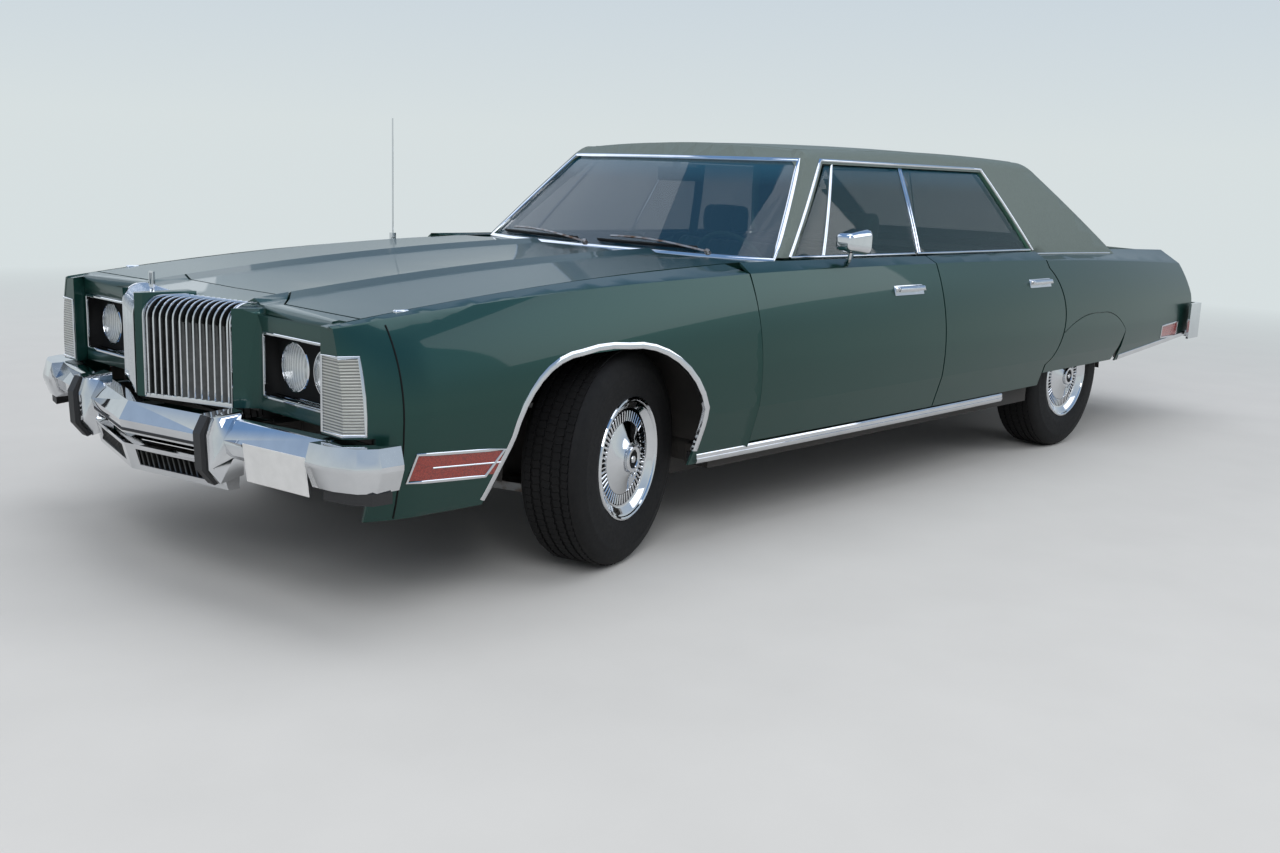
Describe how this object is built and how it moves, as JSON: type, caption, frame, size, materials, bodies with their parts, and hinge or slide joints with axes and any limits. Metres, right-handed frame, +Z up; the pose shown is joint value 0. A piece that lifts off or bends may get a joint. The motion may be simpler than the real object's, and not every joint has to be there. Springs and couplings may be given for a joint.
{
  "type": "full-size four-door hardtop car",
  "caption": "Long four-door hardtop car with V-shaped split waterfall grille, steered front wheels, opening doors, hood and boot lid, and skirted rear wheels.",
  "frame": {"origin": "on the ground, under the middle of the overall length and width", "axes": "+X towards the nose, +Y to the left side, +Z up"},
  "size_m": [5.867, 2.0774, 1.436],
  "materials": {
    "paint": "metallic green enamel, glossy",
    "vinyl": "grained vinyl roof covering, satin",
    "chrome": "polished bright metal",
    "window_glass": "clear tinted glass",
    "lamp_glass": "clear ribbed glass",
    "lamp_lens": "red and amber lens, glossy",
    "rubber": "black bumper rubber, matte",
    "tyre": "black tyre rubber",
    "underbody": "black chassis paint, satin",
    "steel": "bare steel",
    "iron": "cast iron, matte",
    "cloth": "green woven cloth",
    "trim": "dark green padded trim, matte"
  },
  "bodies": {
    "body": {"antenna": "chrome", "bulkhead": "underbody", "cowl": "paint", "dashboard": "trim", "driveshaft": "steel", "engine": "iron", "exhaust": "steel", "fender_skirts": "paint", "floor_pan": "underbody", "front_arms": "steel", "front_bumper": "chrome", "front_bumper_pads": "rubber", "front_fenders": "paint", "front_frame": "underbody", "front_seat": "cloth", "fuel_tank": "underbody", "grille": "chrome", "headlamps": "lamp_glass", "nose_panel": "paint", "quarter_panels": "paint", "rear_axle": "steel", "rear_bumper": "chrome", "rear_deck": "paint", "rear_seat": "cloth", "rear_springs": "steel", "rear_window": "window_glass", "roof": "vinyl", "side_sills": "underbody", "signal_lamps": "lamp_lens", "tail_panel": "paint", "windshield": "window_glass"},
    "hood_body": {"hood": "paint"},
    "boot_body": {"boot_lid": "paint"},
    "front_left_door": {"door_front_left": "paint", "glass_front_left": "window_glass", "door_mirror": "chrome"},
    "front_right_door": {"door_front_right": "paint", "glass_front_right": "window_glass"},
    "rear_left_door": {"door_rear_left": "paint", "glass_rear_left": "window_glass"},
    "rear_right_door": {"door_rear_right": "paint", "glass_rear_right": "window_glass"},
    "left_knuckle": {"knuckle_left": "steel"},
    "right_knuckle": {"knuckle_right": "steel"},
    "front_left_wheel": {"tyre_front_left": "tyre", "wheel_front_left": "chrome"},
    "front_right_wheel": {"tyre_front_right": "tyre", "wheel_front_right": "chrome"},
    "rear_left_wheel": {"tyre_rear_left": "tyre", "wheel_rear_left": "chrome"},
    "rear_right_wheel": {"tyre_rear_right": "tyre", "wheel_rear_right": "chrome"},
    "steering_wheel_body": {"steering_wheel": "trim"}
  },
  "joints": [
    {"name": "hood_hinge", "type": "hinge", "parent": "body", "child": "hood_body", "pos_m": [1.00775, 0, 0.9565], "axis": [0, -1, 0], "range_deg": [0, 50]},
    {"name": "boot_lid_hinge", "type": "hinge", "parent": "body", "child": "boot_body", "pos_m": [-2.03275, 0, 0.964], "axis": [0, 1, 0], "range_deg": [0, 75]},
    {"name": "front_left_door_hinge", "type": "hinge", "parent": "body", "child": "front_left_door", "pos_m": [1.04675, 0.96485, 0.6], "axis": [0, 0, -1], "range_deg": [0, 65]},
    {"name": "front_right_door_hinge", "type": "hinge", "parent": "body", "child": "front_right_door", "pos_m": [1.04675, -0.96485, 0.6], "axis": [0, 0, 1], "range_deg": [0, 65]},
    {"name": "rear_left_door_hinge", "type": "hinge", "parent": "body", "child": "rear_left_door", "pos_m": [-0.14025, 0.97792, 0.6], "axis": [0, 0, -1], "range_deg": [0, 65]},
    {"name": "rear_right_door_hinge", "type": "hinge", "parent": "body", "child": "rear_right_door", "pos_m": [-0.14025, -0.97792, 0.6], "axis": [0, 0, 1], "range_deg": [0, 65]},
    {"name": "left_steer", "type": "hinge", "parent": "body", "child": "left_knuckle", "pos_m": [1.7535, 0.668, 0.352], "axis": [0, 0, 1], "range_deg": [-52, 18]},
    {"name": "right_steer", "type": "hinge", "parent": "body", "child": "right_knuckle", "pos_m": [1.7535, -0.668, 0.352], "axis": [0, 0, 1], "range_deg": [-52, 18]},
    {"name": "front_left_spin", "type": "hinge", "parent": "left_knuckle", "child": "front_left_wheel", "pos_m": [1.71315, 0.79997, 0.352], "axis": [-0.2924, 0.9563, 0], "continuous": true},
    {"name": "front_right_spin", "type": "hinge", "parent": "right_knuckle", "child": "front_right_wheel", "pos_m": [1.79385, -0.79997, 0.352], "axis": [-0.2924, 0.9563, 0], "continuous": true},
    {"name": "rear_left_spin", "type": "hinge", "parent": "body", "child": "rear_left_wheel", "pos_m": [-1.3935, 0.806, 0.352], "axis": [0, 1, 0], "continuous": true},
    {"name": "rear_right_spin", "type": "hinge", "parent": "body", "child": "rear_right_wheel", "pos_m": [-1.3935, -0.806, 0.352], "axis": [0, 1, 0], "continuous": true},
    {"name": "steering_wheel_turn", "type": "hinge", "parent": "body", "child": "steering_wheel_body", "pos_m": [0.5735, 0.375, 0.85], "axis": [0.9272, 0, -0.3746], "range_deg": [-300, 850]}
  ],
  "couplings": [
    {"joint": "right_steer", "follows": "left_steer", "ratio": 1},
    {"joint": "steering_wheel_turn", "follows": "left_steer", "ratio": -16}
  ]
}
